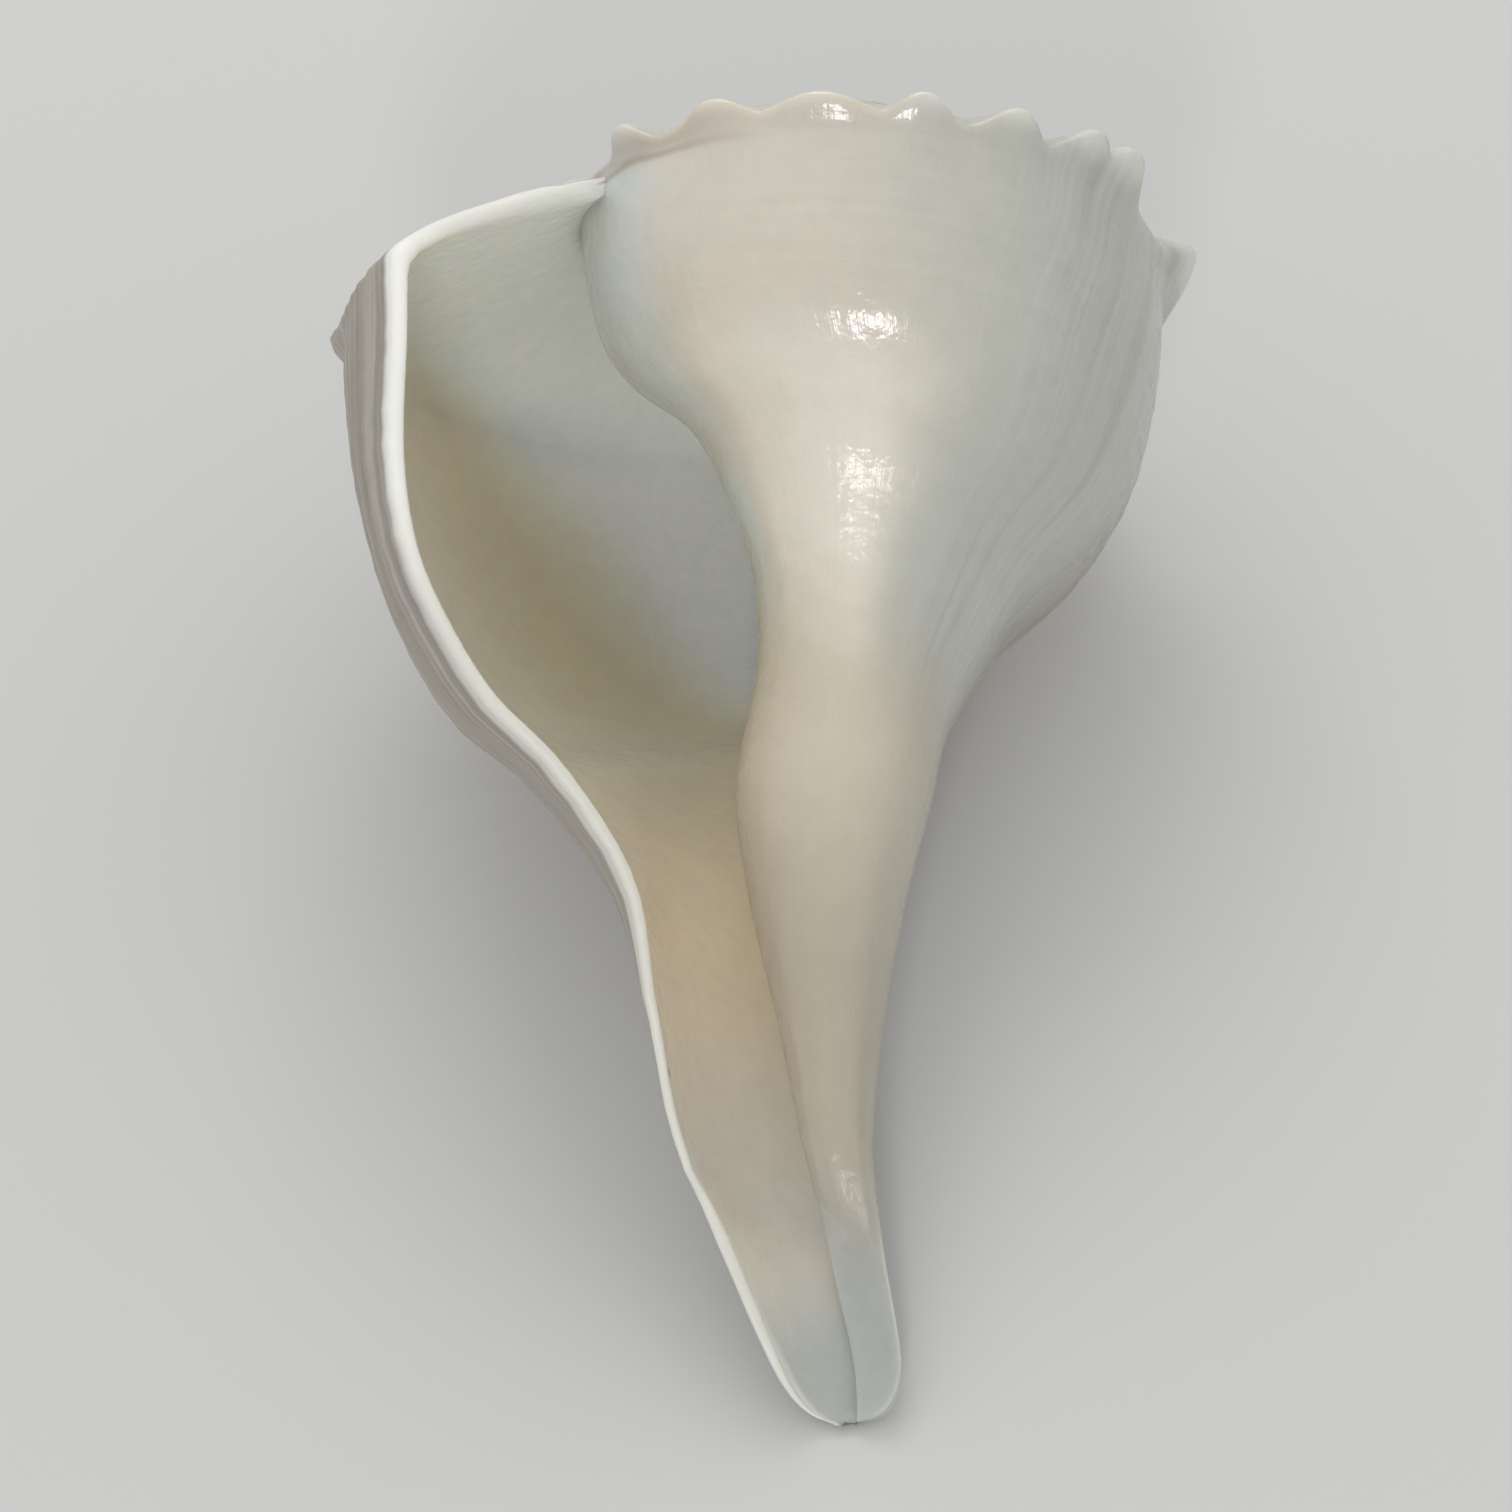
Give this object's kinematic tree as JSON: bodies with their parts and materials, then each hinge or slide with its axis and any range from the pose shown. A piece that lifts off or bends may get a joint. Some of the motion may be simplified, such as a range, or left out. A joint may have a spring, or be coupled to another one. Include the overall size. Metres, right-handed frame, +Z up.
{
  "type": "left-opening knobbed whelk shell",
  "caption": "Large smooth sea shell that opens on the left, with a knobbed shoulder, a low spire and a long open canal, lying on its back.",
  "frame": {"origin": "centre of the bounding box's bottom face, on the surface that the shell rests on", "axes": "+Y towards the spire along the shell's length, +Z up towards the aperture, +X to the shell's closed side"},
  "size_m": [0.106, 0.1572, 0.0891],
  "materials": {
    "shell": "glazed cream shell, smooth and softly shiny, with fine growth lines and a tan band inside"
  },
  "bodies": {
    "root": {"shell": "shell"}
  },
  "joints": []
}
